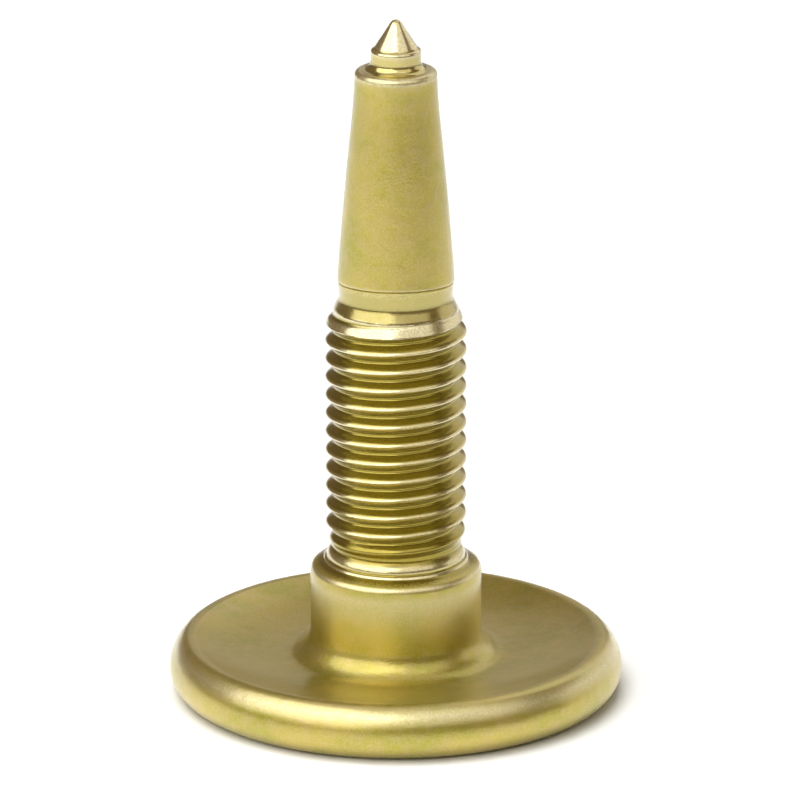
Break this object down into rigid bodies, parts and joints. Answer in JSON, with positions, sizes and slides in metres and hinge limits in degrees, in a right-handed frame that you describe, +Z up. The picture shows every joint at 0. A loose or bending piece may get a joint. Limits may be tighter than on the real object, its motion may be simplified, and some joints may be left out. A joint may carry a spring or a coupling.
{
  "type": "push-through traction stud",
  "caption": "Push-through traction stud: wide round flange, plain collar, rolled thread and tapered nose with a brazed carbide point.",
  "frame": {"origin": "centre of the flat face that the flange rests on", "axes": "+Z up the stud's axis, from the flange to the point"},
  "size_m": [0.0254, 0.0254, 0.0388],
  "materials": {
    "plated_steel": "yellow passivated zinc plating over blasted steel, satin, rubbed brighter on the edges",
    "plated_carbide": "the same gold plating over smooth ground carbide, semi-gloss",
    "braze": "flowed braze metal under the same plating, glossy"
  },
  "bodies": {
    "root": {"stud_body": "plated_steel", "carbide_pin": "plated_carbide", "braze_joint": "braze"}
  },
  "joints": []
}
